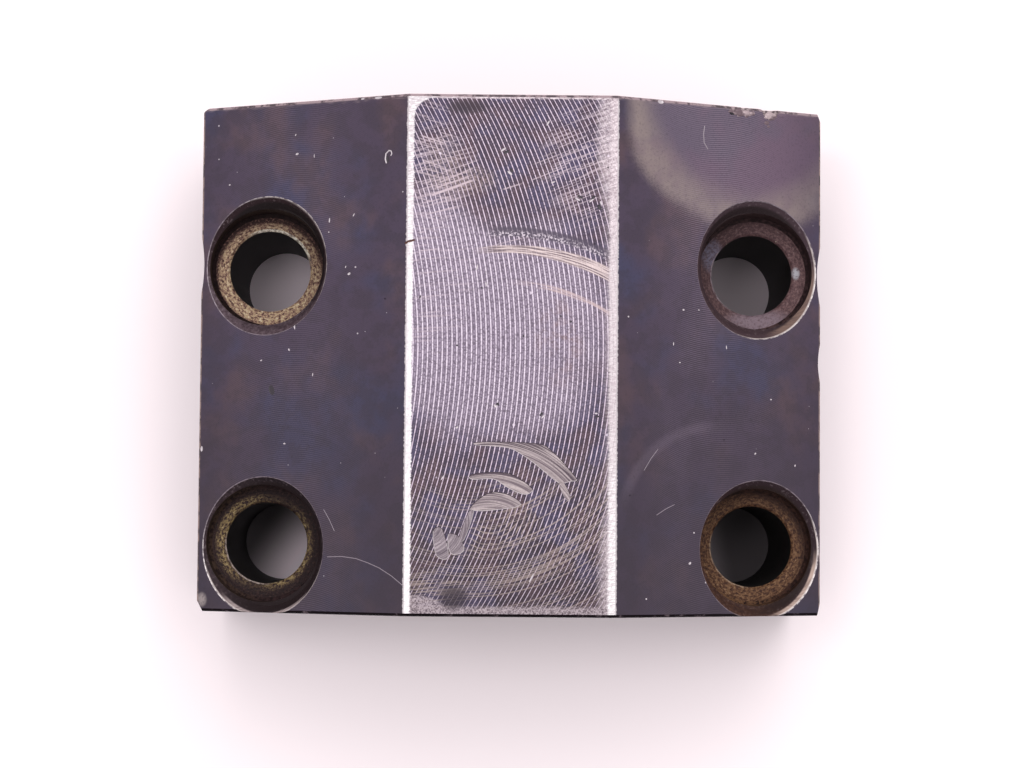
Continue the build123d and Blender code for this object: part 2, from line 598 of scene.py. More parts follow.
def makeSetScrew(node, y, steel):
    radius, length, edge = screws["radius"], screws["length"], screws["endBreak"]
    piece = threadedRod(node + "_body", radius - 0.01 * mm, radius - screws["threadDepth"],
                        screws["pitch"], -mm, length + mm, screws["sides"])
    envelope = turned("screw_ends", [
        (screws["cupRadius"] - screws["cupDepth"], screws["cupDepth"]),
        (screws["cupRadius"], 0),
        (radius - edge, 0),
        (radius + mm, edge + mm),
        (radius + mm, length - edge - mm),
        (radius - edge, length),
    ], 96)
    combine(piece, envelope, "INTERSECT")
    corner = screws["socketWidth"] / 2 / math.cos(math.radians(30))
    floor = length - screws["socketDepth"]
    combine(piece, turned("socket_tool", [(corner, floor), (corner, length + mm)], 6))
    lead = screws["socketWidth"] / 2
    combine(piece, turned("lead_tool", [
        (lead - screws["socketBreak"], length - 2 * screws["socketBreak"]),
        (lead + screws["socketBreak"] + mm, length + mm),
    ], 48))
    combine(piece, turned("drill_tool", [
        (0.1 * mm, floor - screws["drillDepth"]), (lead - 0.2 * mm, floor), (lead - 0.2 * mm, floor + mm),
    ], 48))
    coat(piece, steel)
    tip = bore["radius"] + screws["tipGap"]
    place(piece, (0, 0, tip))
    place(piece, (0, y, bore["height"]), outThroughSide)
    return piece


def openEdges(piece):
    return sum(len(edge.link_faces) == 1 for edge in bmesh.from_edit_mesh(piece.data).edges)


def smooth(piece, angle):
    openUp(piece)
    bpy.ops.mesh.select_mode(type="VERT")
    bpy.ops.mesh.select_all(action="SELECT")
    # no merging by distance here: it drops the faces that come to touch themselves
    bpy.ops.mesh.dissolve_degenerate(threshold=0.0005 * mm)
    print(piece.name, "has", openEdges(piece), "open edges")
    closeUp()
    selectOnly(piece)
    bpy.ops.object.shade_smooth_by_angle(angle=math.radians(angle))
    # a hollow's own finish ends in a sharp edge, however shallow the hollow
    openUp(piece)
    bpy.ops.mesh.select_mode(type="EDGE")
    bpy.ops.mesh.select_all(action="DESELECT")
    for edge in bmesh.from_edit_mesh(piece.data).edges:
        edge.select_set(len({face.material_index for face in edge.link_faces}) > 1)
    bpy.ops.mesh.mark_sharp()
    closeUp()


knocks = {
    # side, place along Y, depth, half length
    "sides": [(1, 15.0, 0.6, 5.0), (1, 0.0, 0.4, 3.2), (-1, 16.0, 0.45, 4.6)],
    "sideTaper": math.radians(4),
    "sideHeight": 12 * mm,
    # place along X, radius, depth
    "backDents": [(39.7, 3.3, 0.6), (44.2, 1.9, 1.35)],
}


def makeSideKnockTool(side, y, depth, halfKnock, edgeCoat):
    radius = (halfKnock**2 + depth**2) / (2 * depth) * mm
    tool = turned("side_knock_tool", [(radius, -knocks["sideHeight"]), (radius, knocks["sideHeight"])], 256)
    coat(tool, edgeCoat)
    x = side * (halfWidth + radius - depth * mm)
    return place(tool, (x, y * mm, sideHeight), (0, side * knocks["sideTaper"], 0))


def makeBackDentTool(x, radius, depth, chipCoat):
    selectOnly()
    bpy.ops.mesh.primitive_ico_sphere_add(subdivisions=5, radius=radius * mm)
    tool = bpy.context.object
    grain = bpy.data.textures.new("chip_grain", "CLOUDS")
    grain.noise_scale = 0.9 * mm
    rough = tool.modifiers.new("rough", "DISPLACE")
    rough.texture = grain
    rough.strength = 0.5 * mm
    rough.mid_level = 0.5
    applyAll(tool)
    coat(tool, chipCoat)
    lean = blank["shoulderAngle"]
    outward = (Vector((math.sin(lean), 0, math.cos(lean))) + Vector((0, 1, 0))).normalized()
    onEdge = Vector((x * mm, halfLength, shoulderHeight(x * mm)))
    return place(tool, onEdge + outward * (radius - depth) * mm)


def surfaceHeight(x):
    return min(topHeight, shoulderHeight(x))


def surfaceLean(x):
    return 0 if abs(x) < halfRidge else math.copysign(blank["shoulderAngle"], x)


def curved(points, steps=4):
    # a closed curve through the points
    count = len(points)
    rounded = []
    for index in range(count):
        before, start, end, after = (Vector(points[(index + shift) % count]) for shift in (-1, 0, 1, 2))
        for step in range(steps):
            share = step / steps
            bend = 2 * before - 5 * start + 4 * end - after
            twist = 3 * start - before - 3 * end + after
            rounded.append((2 * start + (end - before) * share + bend * share**2 + twist * share**3) / 2)
    return rounded


def makePocket(name, outline, depth, slope, coats, steps=4):
    # a shallow pocket in the flat top: the outline filled and raised, its floor set in by the slope
    spots = curved(outline, steps)
    piece = drawnLine(name, [(spot.x * mm, spot.y * mm, topHeight) for spot in spots])
    openUp(piece)
    bpy.ops.mesh.select_mode(type="VERT")
    bpy.ops.mesh.select_all(action="SELECT")
    bpy.ops.mesh.edge_face_add()
    bpy.ops.mesh.select_mode(type="FACE")
    bpy.ops.mesh.select_all(action="SELECT")
    bpy.ops.mesh.extrude_region_move(TRANSFORM_OT_translate={"value": (0, 0, mm)})
    bpy.ops.mesh.select_all(action="SELECT")
    bpy.ops.mesh.normals_make_consistent(inside=False)
    pickFaces(piece, lambda centre, normal: normal.z < -0.9)
    bpy.ops.mesh.inset(thickness=slope * mm, depth=depth * mm)
    closeUp()
    coat(piece, *coats)
    # the tool's faces that face front or sideways become the pocket's lit walls, in the bright burr colour,
    # partly a painted highlight; those that face back become its shaded walls, in painted shade
    coatFaces(piece, 1, lambda centre, normal: normal.z > -0.99 and normal.y < 0.15)
    coatFaces(piece, 2, lambda centre, normal: normal.z > -0.99 and normal.y >= 0.15)
    return piece


def makeMark(mark, markCoat):
    # a long or round dent in the surface: place, half length, half width, turn in degrees, depth
    x, y, halfLong, halfWide, turn, depth = mark
    selectOnly()
    bpy.ops.mesh.primitive_ico_sphere_add(subdivisions=2, radius=mm)
    piece = bpy.context.object
    piece.scale = (halfLong, halfWide, depth)
    place(piece)
    place(piece, rotation=(0, 0, math.radians(turn)))
    coat(piece, markCoat)
    return place(piece, (x * mm, y * mm, surfaceHeight(x * mm)), (0, surfaceLean(x * mm), 0))


def makeScratch(name, points, width, depth, markCoat):
    # a round wire along the points, sunk in the surface so far that it cuts the width
    radius = (width**2 / 4 + depth**2) / (2 * depth)
    line = bpy.data.curves.new(name, "CURVE")
    line.dimensions = "3D"
    line.bevel_depth = radius * mm
    line.bevel_resolution = 3
    line.use_fill_caps = True
    spline = line.splines.new("POLY")
    spline.points.add(len(points) - 1)
    for knot, (x, y) in zip(spline.points, points):
        lift = (radius - depth) * mm
        lean = surfaceLean(x * mm)
        knot.co = (x * mm + lift * math.sin(lean), y * mm,
                   surfaceHeight(x * mm) + lift * math.cos(lean), 1)
    piece = bpy.data.objects.new(name, line)
    bpy.context.scene.collection.objects.link(piece)
    selectOnly(piece)
    bpy.ops.object.convert(target="MESH")
    piece = bpy.context.object
    openUp(piece)
    bpy.ops.mesh.select_mode(type="VERT")
    bpy.ops.mesh.select_all(action="SELECT")
    bpy.ops.mesh.remove_doubles(threshold=0.0005 * mm)
    bpy.ops.mesh.normals_make_consistent(inside=False)
    closeUp()
    coat(piece, markCoat)
    return piece


# Finishes

flatTop = {
    "lineRadius": 84.3,
    "lineMiddle": 1.1,
    "linePitch": 0.808,
    "valleyDark": paint(56, 42, 62),
    "valleyWornAndHighlit": paint(121, 107, 126),
    "valleyFrontShade": paint(38, 25, 36),
    "valleyBlue": paint(60, 54, 86),
    "valleyBrown": paint(84, 58, 64),
    "crestDull": paint(206, 188, 205),
    "crestBright": paint(212, 199, 213),
    "stain": paint(122, 92, 86),
    "strip": paint(219, 214, 217),
    "stripFront": paint(236, 231, 233),
    "stripRight": paint(198, 188, 192),
    "stripDull": paint(160, 143, 151),
    "grit": paint(212, 199, 204),
    "gritDark": paint(136, 119, 127),
    "hatch": paint(182, 165, 174),
    "warmHatch": paint(166, 148, 142),
    "dark": paint(38, 26, 38),
    # single strokes: from, to, half width, how much of it shows
    "strokes": [
        ((-15.6, 36.4), (-10.6, 34.8), 0.14, 0.75), ((-15.4, 32.4), (-10.9, 30.8), 0.13, 0.6),
        ((-13.8, 26.2), (-5.9, 29.2), 0.2, 0.95), ((-13.2, 27.4), (-6.4, 29.9), 0.13, 0.75),
        ((-12.6, 28.3), (-6.0, 31.2), 0.13, 0.7), ((-12.0, 30.1), (-5.4, 32.4), 0.1, 0.6),
        ((-15.4, 24.9), (-9.5, 26.4), 0.1, 0.6), ((-14.6, 23.0), (-9.0, 24.6), 0.1, 0.55),
        ((-15.9, 20.0), (-13.9, 20.4), 0.12, 0.7), ((-15.8, 17.0), (-11.4, 17.5), 0.12, 0.6),
        ((-5.6, 17.4), (2.6, 19.6), 0.08, 0.5), ((-2.0, 27.3), (2.0, 28.6), 0.12, 0.7),
        ((2.8, 28.9), (9.5, 31.6), 0.1, 0.6), ((3.2, 31.6), (8.4, 33.6), 0.09, 0.5),
    ],
}


def makeTopFinish():
    material, tree, shader, point = startMaterial("bare_top")
    x, y, z = split(tree, point)
    grain = noise(tree, point, 2.6, 3.0, 0.65)
    cloud = noise(tree, point, 0.13, 3.0)
    patchy = noise(tree, point, 0.7, 2.0)
    teeth = noise(tree, join(tree, x * 0.7, y * 3.2), 1.0, 2.0)
    arc = ((y - flatTop["lineMiddle"]).square() * -1.0 + flatTop["lineRadius"] ** 2).root()
    offLine = wave(x - arc, flatTop["linePitch"])
    # the middle of the top is partly worn, with wider crests, and partly a painted highlight: its valleys
    # and crests are painted lighter there
    rubbed = patch(x, y, (-3, 4), (30, 24)) * 1.2 + patch(x, y, (-14, 14), (12, 20)) * 0.8
    rubbed = (rubbed + cloud * 1.2 - 0.7).ease(0.0, 1.0)
    width = rubbed * 0.06 + patchy * 0.2 + 0.03
    crest = offLine.ease(width + 0.16, width - 0.06) * grain.ease(0.34, 0.5, 0.25)
    faint = offLine.ease(0.7, 0.95) * grain.ease(0.46, 0.6) * (rubbed * 0.24 + 0.1)
    # painted shade: the valleys darken towards the front edge
    valley = mix(tree, y.ease(-8.0, -34.0), flatTop["valleyDark"], flatTop["valleyFrontShade"])
    tint = noise(tree, point, 0.21, 3.0, 0.6)
    valley = mix(tree, tint.ease(0.48, 0.62) * 0.75, valley, flatTop["valleyBlue"])
    valley = mix(tree, tint.ease(0.5, 0.38) * 0.5, valley, flatTop["valleyBrown"])
    valley = mix(tree, rubbed, valley, flatTop["valleyWornAndHighlit"])
    valley = mix(tree, grain.ease(0.58, 0.38) * 0.55, valley, flatTop["dark"])
    bright = mix(tree, rubbed, flatTop["crestDull"], flatTop["crestBright"])
    colour = mix(tree, crest.most(faint), valley, bright)

    # scuffs swept over the top: hatching in the corners, and long arcs
    upLeft = patch(x, y, (-12.5, 30), (8, 10)) * streaks(tree, x, y, 14, 2.9, 0.1, 0.54, 0.62)
    downLeft = patch(x, y, (-13.5, 31), (6, 14)) * streaks(tree, x, y, -15, 2.6, 0.1, 0.56, 0.64)
    lattice = wave(y * 0.921 - x * 0.391 + patchy * 0.7, 1.5).ease(0.22, 0.05) * patchy.ease(0.42, 0.56)
    fineRight = streaks(tree, x, y, 21, 3.0, 0.09, 0.55, 0.63)
    upRight = patch(x, y, (14, 32), (11, 13)) * lattice.most(fineRight)
    overLeft = patch(x, y, (-13, 14), (8, 20)) * streaks(tree, x, y, 4, 2.6, 0.1, 0.57, 0.66) * 0.7
    hatch = upLeft.most(downLeft).most(upRight).most(overLeft) * grain.ease(0.3, 0.52, 0.3)
    colour = mix(tree, hatch * 0.6, colour, flatTop["hatch"])
    drawn = grain.ease(0.3, 0.46, 0.4)
    for start, end, halfWide, shown in flatTop["strokes"]:
        colour = mix(tree, stroke(x, y, start, end, halfWide) * drawn * shown, colour, flatTop["hatch"])
    haze = patch(x, y, (-11.5, 31), (4, 7)).most(patch(x, y, (-8, 29), (7, 3)))
    haze = haze * grain.ease(0.42, 0.56) * 0.3
    colour = mix(tree, haze, colour, flatTop["warmHatch"])
    sweep = arcStreaks(tree, x, y, (-7, -4), 4.2, 1.2, 0.55, 0.62) * y.ease(-15.0, -26.0)
    sweep = sweep * (x + y * -0.55).ease(-2.0, 26.0, 0.35) * grain.ease(0.3, 0.5, 0.3)
    low = patch(x, y, (-12.5, -39.5), (8, 5)) * streaks(tree, x, y, 6, 3.2, 0.12, 0.5, 0.58)
    reach, aside, ahead = around(x, y, (-3.4, -25.4))
    swirl = wave(reach + patchy * 0.9, 0.86).ease(0.34, 0.08) * (aside * 0.55 - ahead).ease(0.35, 0.75)
    swirl = swirl * reach.ease(2.6, 3.4) * reach.ease(9.8, 6.5) * patchy.ease(0.3, 0.55, 0.35)
    colour = mix(tree, sweep.most(swirl).most(low) * 0.62, colour, flatTop["warmHatch"])
    reach, aside, ahead = around(x, y, (-1, -20))
    fibre = noise(tree, join(tree, reach * 4.5, x * 0.18), 1.0, 2.0)
    widening = x.ease(-6.0, 14.0, 0.45, 0.95)
    scuff = (reach - 37.5).absolute().ease(widening + 0.25, widening - 0.1)
    scuff = scuff * x.ease(-7.0, -2.0) * y.ease(8.0, 12.0)
    scuffColour = mix(tree, fibre.ease(0.4, 0.58), paint(104, 88, 92), paint(204, 186, 184))
    colour = mix(tree, scuff * grain.ease(0.3, 0.5, 0.6) * 0.88, colour, scuffColour)
    speckled = (reach - 40.4).absolute().ease(1.0, 0.6) * x.ease(-5.0, -2.0) * y.ease(10.0, 13.0)
    spots = grain.ease(0.5, 0.6) * (reach - 39.9).absolute().ease(0.9, 0.2)
    colour = mix(tree, speckled * 0.8, colour, mix(tree, spots, paint(64, 54, 70), paint(206, 194, 204)))
    faded = (reach - 31.9).absolute().ease(0.6, 0.25) * x.ease(-2.0, 9.0) * y.ease(2.0, 7.0)
    colour = mix(tree, faded * fibre.ease(0.4, 0.56) * 0.7, colour, paint(182, 160, 160))
    stain = patch(x, y, (8, 2), (5, 9)) * patchy.ease(0.4, 0.7) * 0.35
    colour = mix(tree, stain, colour, flatTop["stain"])

    # the rubbed strips along the edges
    crumb = noise(tree, point, 4.2, 2.0, 0.6)
    inTop = ((x * -1.0 - 13.1).most(0.0).square() + (y - 39.3).most(0.0).square()).root()
    leftAndTop = (inTop + teeth * 0.6).ease(3.5, 3.8)
    nearRight = (x + teeth * 0.8).ease(16.3, 16.9)
    fade = (x + patch(x, y, (17, 36), (6, 14)) * 2.2 + patch(x, y, (17, -36), (5, 12)) * 1.4 + teeth * 1.6)
    softRight = fade.ease(15.6, 18.4) * grain.ease(0.32, 0.6, 0.45) * 0.85
    front = (y * -1.0 + teeth * 0.6 + patch(x, y, (-16, -42), (6, 5)) * 2.0 + grain * 0.5).ease(41.9, 42.7)
    fibres = streaks(tree, x, y, 8, 4.5, 0.9, 0.4, 0.6)
    stripColour = mix(tree, y.ease(-10.0, -40.0), flatTop["strip"], flatTop["stripFront"])
    stripColour = mix(tree, fibres * y.ease(0.0, 34.0, 0.15, 0.6), stripColour, flatTop["stripDull"])
    brushed = streaks(tree, x, y, 20, 2.6, 0.35, 0.4, 0.6)
    gritty = mix(tree, crumb.ease(0.36, 0.62) * 0.55 + brushed * 0.45, flatTop["gritDark"], flatTop["grit"])
    # painted shade: the top darkens towards the front edge
    colour = mix(tree, y.ease(-24.0, -43.0) * 0.24, colour, flatTop["dark"])
    colour = mix(tree, softRight, colour, gritty)
    frontColour = mix(tree, crumb.ease(0.34, 0.6), paint(84, 70, 78), paint(172, 158, 164))
    colour = mix(tree, front * 0.8, colour, frontColour)
    stripTop = mix(tree, x.ease(-11.0, -15.5), gritty, stripColour)
    colour = mix(tree, leftAndTop * 0.95, colour, stripTop)
    rightColour = mix(tree, y.ease(-6.0, -38.0), flatTop["stripRight"], flatTop["stripFront"])
    rightColour = mix(tree, fibres * 0.5, rightColour, flatTop["stripDull"])
    colour = mix(tree, nearRight, colour, mix(tree, y.ease(6.0, 32.0) * 0.85, rightColour, gritty))
    smudge = patch(x, y, (-7.6, 41.2), (4.5, 1.5)) + patch(x, y, (-9.2, -40.2), (3.2, 2.6)) * 1.1
    colour = mix(tree, smudge.least(1.0) * 0.8, colour, flatTop["dark"])

    pits = specks(tree, point, 2.2, 0.2, 0.22)
    chips = specks(tree, point, 3.1, 0.3, 0.2)
    colour = mix(tree, pits * 0.75, colour, flatTop["dark"])
    colour = mix(tree, chips * 0.6, colour, flatTop["crestBright"])
    plug(tree, shader.inputs["Base Color"], colour)
    shader.inputs["Metallic"].default_value = 0.55
    plug(tree, shader.inputs["Roughness"], grain.ease(0.2, 0.8, 0.34, 0.55))
    relief(tree, shader, crest * 0.014 + grain * 0.012 - pits * 0.04)
    return material


shoulder = {
    "lineRadius": 20.5,
    "linePitch": 0.34,
    "lineMiddle": {-1: -36.9, 1: 36.6},
    # how strongly the ruled lines show
    "lined": {-1: 0.24, 1: 0.62},
    "black": paint(66, 52, 73),
    "blue": paint(55, 55, 86),
    "brown": paint(84, 62, 70),
    "front": paint(46, 35, 47),
    "ruled": paint(134, 118, 136),
    "speck": paint(205, 196, 204),
    "sheen": paint(140, 124, 122),
    "sheenFar": paint(104, 82, 102),
    "sheenBlue": paint(88, 82, 100),
}


def makeShoulderFinish(side):
    material, tree, shader, point = startMaterial("left_shoulder" if side < 0 else "right_shoulder")
    x, y, z = split(tree, point)
    cloud = noise(tree, point, 0.055, 3.0, 0.55)
    haze = noise(tree, join(tree, y, x, z), 0.09, 3.0, 0.55)
    grain = noise(tree, point, 3.0, 2.0, 0.6)
    middle = shoulder["lineMiddle"][side]
    arc = ((x - middle).square() * -1.0 + shoulder["lineRadius"] ** 2).most(0.01).root()
    ruled = wave(y - arc, shoulder["linePitch"])
    shown = (x - middle).absolute().ease(17.0, 3.0) * haze.ease(0.25, 0.6, 0.4)
    blotch = noise(tree, point, 0.28, 4.0, 0.6)
    colour = mix(tree, cloud.ease(0.48, 0.66) * 0.8, shoulder["black"], shoulder["blue"])
    colour = mix(tree, haze.ease(0.48, 0.7) * 0.75, colour, shoulder["brown"])
    # painted shade: the shoulder darkens towards the front
    colour = mix(tree, y.ease(20.0, -44.0) * 0.62, colour, shoulder["front"])
    colour = mix(tree, blotch.ease(0.56, 0.42) * 0.35, colour, shoulder["front"])
    if side > 0:
        # painted sheen: the upper right of this shoulder is painted lighter as reflected light, lightest in
        # a band along the arc that bounds it
        reach, aside, ahead = around(x, y, (40, 45))
        inside = (reach + haze * 2.5 + grain * 1.2).ease(26.2, 23.0)
        deep = reach.ease(14.5, 20.5)
        far = mix(tree, cloud.ease(0.47, 0.6) * 0.6, shoulder["sheenFar"], shoulder["sheenBlue"])
        sheen = mix(tree, deep * blotch.ease(0.3, 0.65, 0.6), far, shoulder["sheen"])
        colour = mix(tree, inside * (x - 19.5).ease(-1.5, 1.5) * x.ease(56.0, 44.0, 0.4), colour, sheen)
        reach, aside, ahead = around(x, y, (35, -28))
        swept = (reach - 16.6).absolute().ease(1.4, 0.2) * y.ease(-27.0, -20.0) * x.ease(38.0, 30.0)
        colour = mix(tree, swept * 0.16, colour, shoulder["ruled"])
    else:
        reach, aside, ahead = around(x, y, (-41, -33))
        swept = (reach - 21.0).absolute().ease(0.8, 0.1) * y.ease(-20.0, -14.0)
        colour = mix(tree, swept * 0.22, colour, paint(40, 33, 44))
    lined = shown * shoulder["lined"][side]
    if side > 0:
        lined = lined * (x - y * 0.25).ease(40.0, 28.0, 0.35)
    colour = mix(tree, ruled.ease(0.55, 0.1) * lined, colour, shoulder["ruled"])
    colour = mix(tree, ruled.ease(0.4, 0.95) * lined * 0.5, colour, shoulder["front"])
    colour = mix(tree, grain.ease(0.5, 0.75) * 0.3, colour, paint(34, 26, 38))
    fine = specks(tree, point, 1.9, 0.09, 0.16)
    large = specks(tree, point, 6.5, 0.19, 0.3)
    colour = mix(tree, fine.most(large) * 0.75, colour, shoulder["speck"])

    # worn through to the steel along the ridge and the back edge
    fromRidge = x.absolute() - halfRidge / mm
    ragged = noise(tree, join(tree, x * 0.6, y * 2.2), 1.0, 2.0)
    bared = (fromRidge + ragged * 0.4).ease(0.52, 0.34)
    colour = mix(tree, bared * 0.9, colour, paint(216, 206, 210))
    rubbed = (y + ragged * 1.4).ease(43.2, 43.9)
    colour = mix(tree, rubbed * 0.5, colour, paint(150, 130, 136))
    knocked = patch(x, y, (-52.6, -41.4), (1.1, 1.5)) * grain.ease(0.36, 0.5, 0.4)
    colour = mix(tree, knocked, colour, paint(150, 138, 138))
    plug(tree, shader.inputs["Base Color"], colour)
    plug(tree, shader.inputs["Roughness"], cloud.ease(0.3, 0.7, 0.42, 0.56))
    shader.inputs["Specular IOR Level"].default_value = 0.38
    relief(tree, shader, ruled * shown * 0.01 + grain * 0.012 + fine * 0.02)
    return material


def makeWornEdge(name, worn, dark, wornShare, gloss=0.5):
    material, tree, shader, point = startMaterial(name)
    along = noise(tree, point, 0.5, 4.0, 0.65)
    colour = mix(tree, along.ease(0.62 - wornShare * 0.4, 0.75 - wornShare * 0.4), dark, worn)
    plug(tree, shader.inputs["Base Color"], colour)
    shader.inputs["Metallic"].default_value = gloss * 0.6
    shader.inputs["Roughness"].default_value = 0.5
    shader.inputs["Specular IOR Level"].default_value = gloss
    return material


def makeSideFinish():
    # the hidden faces: milled and blackened, with the ruled lines of the cutter
    material, tree, shader, point = startMaterial("black_side")
    x, y, z = split(tree, point)
    cloud = noise(tree, point, 0.06, 3.0)
    grain = noise(tree, point, 2.6, 2.0)
    lines = wave(x + y + z * 0.02, 0.62)
    colour = mix(tree, cloud.ease(0.35, 0.7), paint(56, 48, 60), paint(70, 62, 76))
    colour = mix(tree, lines.ease(0.5, 0.05) * 0.25, colour, paint(92, 84, 96))
    plug(tree, shader.inputs["Base Color"], colour)
    shader.inputs["Roughness"].default_value = 0.48
    relief(tree, shader, lines * 0.008 + grain * 0.01)
    return material


seats = {
    # gold, pale: the worn ring's bright colours. ring: its outer radius. off: how far its middle
    # lies from the hole's. gilded: the directions where it shows, from: how far round, bias: the
    # least of it. Then the direction of the painted highlight on the inner edge, and its colour.
    # rim: the countersink's dark, warm and painted highlight colours, the directions of the last
    # two, how tight and how deep the painted highlight is, and how much of the painted bright edge
    # shows. lip: the way its painted highlight faces. wall: dark, light, how much gold
    "rear_left": {
        "gold": paint(198, 172, 136), "pale": paint(238, 222, 202), "dull": paint(144, 108, 98),
        "ground": paint(46, 26, 26), "dots": paint(54, 33, 30), "ring": 8.95, "off": (0.0, -0.55),
        "fade": 0.3, "gilded": (-100,), "from": -0.4, "bias": 0.7, "glint": 66,
        "glintColour": paint(252, 244, 228),
        "rim": (paint(44, 28, 33), paint(92, 76, 84), -100, paint(150, 138, 140), 40, 0.8, 0.5, 0.35),
        "lip": 40, "wall": (paint(22, 14, 16), paint(44, 30, 30), 0.0),
    },
    "rear_right": {
        "gold": paint(120, 92, 92), "pale": paint(142, 118, 120), "dull": paint(96, 70, 74),
        "ground": paint(50, 34, 38), "dots": paint(80, 58, 60), "ring": 9.6, "off": (0.3, -0.2),
        "fade": 0.5, "gilded": (-30,), "from": -0.4, "bias": 0.6, "glint": 190,
        "glintColour": paint(164, 148, 156),
        "rim": (paint(70, 54, 61), paint(76, 58, 63), -130, paint(128, 104, 95), -36, 0.66, 1.3, 0.75),
        "lip": -40, "wall": (paint(36, 25, 27), paint(68, 50, 51), 0.35),
    },
    "front_left": {
        "gold": paint(146, 124, 84), "pale": paint(196, 176, 140), "dull": paint(78, 58, 54),
        "ground": paint(44, 29, 31), "dots": paint(34, 23, 25), "ring": 8.3, "off": (-0.4, 0.1),
        "fade": 0.4, "gilded": (164, -22), "from": 0.5, "bias": 0.12, "glint": 222,
        "glintColour": paint(198, 180, 172),
        "rim": (paint(34, 24, 29), paint(56, 42, 47), 180, paint(178, 161, 161), -88, 0.7, 0.8, 0.7),
        "lip": -125, "wall": (paint(34, 23, 25), paint(60, 43, 44), 0.1),
    },
    "front_right": {
        "gold": paint(128, 94, 68), "pale": paint(166, 134, 106), "dull": paint(90, 60, 46),
        "ground": paint(48, 30, 29), "dots": paint(56, 35, 29), "ring": 9.5, "off": (-0.8, -0.8),
        "fade": 1.2, "gilded": (-70,), "from": -0.4, "bias": 0.7, "glint": 215,
        "glintColour": paint(184, 156, 134),
        "rim": (paint(47, 32, 38), paint(84, 57, 45), -145, paint(200, 174, 163), -42, 0.74, 0.8, 1.0),
        "lip": -30, "wall": (paint(38, 25, 24), paint(70, 48, 42), 0.8),
    },
}


def facing(aside, ahead, degrees):
    turn = math.radians(degrees)
    return aside * math.cos(turn) + ahead * math.sin(turn)


def makeSeatFinish(name, centre):
    settings = seats[name]
    material, tree, shader, point = startMaterial("seat_" + name)
    x, y, z = split(tree, point)
    reach, aside, ahead = around(x, y, centre)
    ringed = noise(tree, join(tree, reach * 3.2, aside * 13, ahead * 13), 1.0, 5.0, 0.75)
    mottle = noise(tree, point, 1.9, 4.0, 0.74)
    blend = ringed * 0.6 + mottle * 0.4
    ringReach, ringAside, ringAhead = around(x, y, tuple(a + b for a, b in zip(centre, settings["off"])))
    high, fade = settings["ring"], settings["fade"]
    onRing = (ringReach + mottle * 3.0).ease(high + 1.5 + fade, high + 1.5 - fade)
    gilded = [facing(aside, ahead, way) for way in settings["gilded"]]
    toward = gilded[0] if len(gilded) == 1 else gilded[0].most(gilded[1])
    onRing = onRing * (toward + mottle * 0.8).ease(settings["from"], 1.3, settings["bias"])
    colour = mix(tree, onRing, settings["ground"], settings["dull"])
    colour = mix(tree, mottle.ease(0.5, 0.62) * 0.6, colour, settings["dull"])
    colour = mix(tree, onRing * blend.ease(0.47, 0.54), colour, settings["gold"])
    colour = mix(tree, onRing * blend.ease(0.55, 0.62), colour, settings["pale"])
    colour = mix(tree, blend.ease(0.48, 0.42) * 0.9, colour, settings["dots"])
    colour = mix(tree, specks(tree, point, 1.7, 0.11, 0.2) * 0.8, colour, paint(214, 200, 180))
    if name == "rear_right":
        lilac = patch(x, y, (centre[0] + 1.4, centre[1] - 8.6), (8.0, 3.4)) * mottle.ease(0.35, 0.55, 0.4)
        blue = patch(x, y, (centre[0] - 6.9, centre[1] + 3.4), (2.4, 3.6)) * mottle.ease(0.42, 0.56, 0.3)
        blob = patch(x, y, (centre[0] + 7.7, centre[1] + 0.4), (0.9, 1.3)) * mottle.ease(0.38, 0.48)
        colour = mix(tree, lilac * 0.8, colour, paint(152, 134, 146))
        colour = mix(tree, blue * 0.85, colour, paint(126, 122, 144))
        colour = mix(tree, blob, colour, paint(184, 182, 190))
    # painted highlight on the inner edge, on the side facing the given direction
    wide = 7.48 if name == "rear_left" else 7.3
    glint = facing(aside, ahead, settings["glint"]).ease(0.5, 0.85) * reach.ease(wide, wide - 0.16)
    colour = mix(tree, glint * ringed.ease(0.44, 0.54, 0.25), colour, settings["glintColour"])
    plug(tree, shader.inputs["Base Color"], colour)
    shader.inputs["Metallic"].default_value = 0.1
    shader.inputs["Specular IOR Level"].default_value = 0.14
    plug(tree, shader.inputs["Roughness"], mottle.ease(0.3, 0.7, 0.4, 0.62))
    relief(tree, shader, ringed * 0.08 + mottle * 0.08)
    return material


def makeRimFinish(name, centre):
    dark, warm, warmWay, light, lightWay, tight, deepest, bright = seats[name]["rim"]
    material, tree, shader, point = startMaterial("rim_" + name)
    x, y, z = split(tree, point)
    reach, aside, ahead = around(x, y, centre)
    slope = math.tan(blank["shoulderAngle"])
    depth = (x.absolute() - halfRidge / mm) * -slope + topHeight / mm - z
    tooled = noise(tree, join(tree, z * 5.0, aside * 3, ahead * 3), 1.0, 3.0)
    mottle = noise(tree, point, 1.6, 4.0, 0.7)
    colour = mix(tree, facing(aside, ahead, warmWay).ease(-0.3, 0.8), dark, warm)
    colour = mix(tree, mottle.ease(0.52, 0.42) * 0.55, colour, dark)
    colour = mix(tree, mottle.ease(0.56, 0.64) * 0.25, colour, paint(150, 134, 138))
    away = facing(aside, ahead, warmWay).ease(0.9, 0.0, 0.3)
    colour = mix(tree, depth.ease(0.6, 1.2) * away * 0.9, colour, seats[name]["wall"][0])
    # painted highlight: a crescent of the light colour towards lightWay, and a bright edge at the rim
    toward = facing(aside, ahead, lightWay)
    lit = toward.ease(tight, tight + 0.25) * depth.ease(deepest, deepest * 0.7)
    colour = mix(tree, lit * tooled.ease(0.3, 0.6, 0.5), colour, light)
    edge = toward.ease(tight - 0.45, tight - 0.1) * depth.ease(0.3, 0.14)
    colour = mix(tree, edge * bright, colour, paint(228, 214, 210))
    plug(tree, shader.inputs["Base Color"], colour)
    shader.inputs["Metallic"].default_value = 0.1
    shader.inputs["Roughness"].default_value = 0.45
    shader.inputs["Specular IOR Level"].default_value = 0.14
    relief(tree, shader, tooled * 0.03 + mottle * 0.05)
    return material


